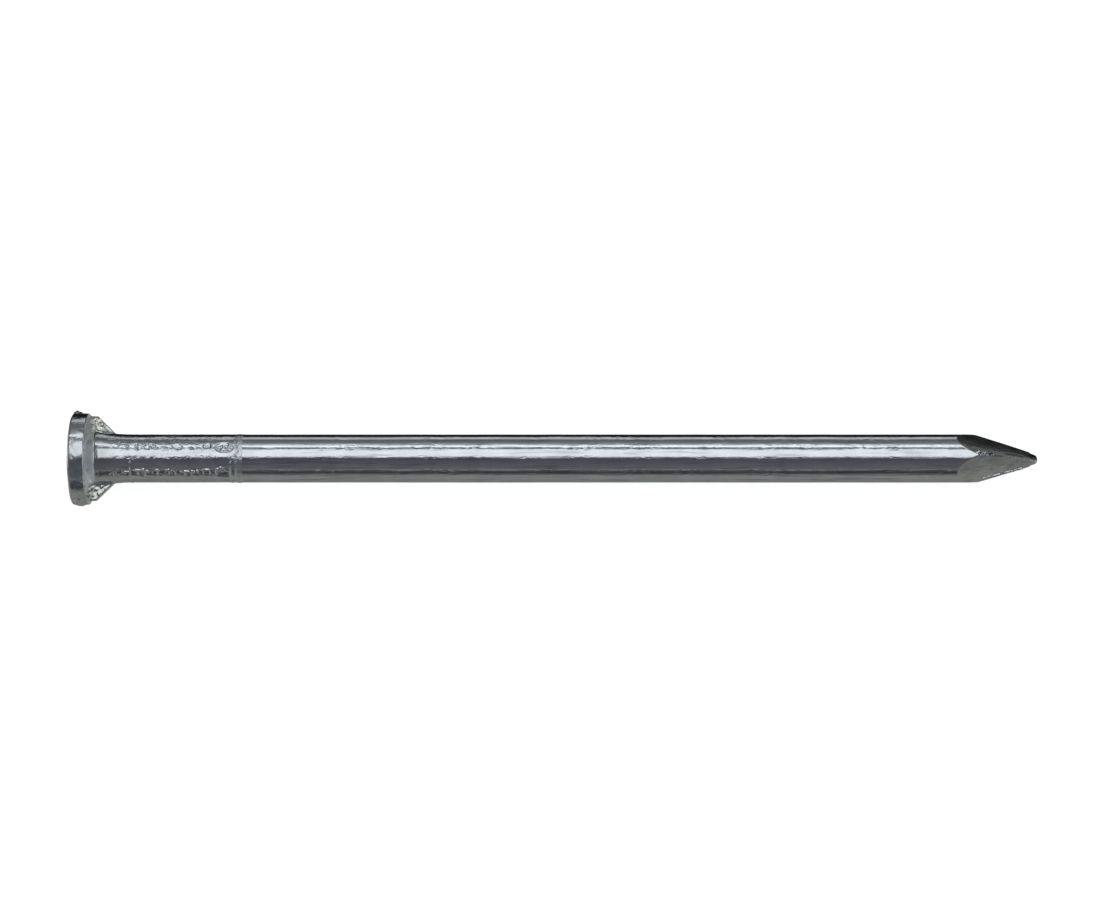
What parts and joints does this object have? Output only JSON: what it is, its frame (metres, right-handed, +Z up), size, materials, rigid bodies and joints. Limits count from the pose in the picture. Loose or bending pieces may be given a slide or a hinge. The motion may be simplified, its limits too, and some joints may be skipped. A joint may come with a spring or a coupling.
{
  "type": "nail",
  "caption": "Round steel wire nail with a flat head, a finned neck, a die-gripped length under the head, a plain shank and a diamond point, zinc plated.",
  "frame": {"origin": "centre of the struck face of the head", "axes": "+X along the nail from the head to the tip, +Z up through the middle of one gripping die, -Y and +Y through the two fins"},
  "size_m": [0.07, 0.0066, 0.0066],
  "materials": {
    "forged_zinc": "zinc plated over a forged surface, uneven and half bright",
    "gripped_zinc": "bright zinc with bitten and scuffed die marks",
    "drawn_zinc": "bright zinc over drawn wire, with fine lines along its length",
    "cut_zinc": "satin zinc over pinched flats, with bright edges"
  },
  "bodies": {
    "root": {"head": "forged_zinc", "neck": "forged_zinc", "front_fin": "forged_zinc", "back_fin": "forged_zinc", "gripped_shank": "gripped_zinc", "grip_ring": "gripped_zinc", "shank": "drawn_zinc", "point": "cut_zinc"}
  },
  "joints": []
}
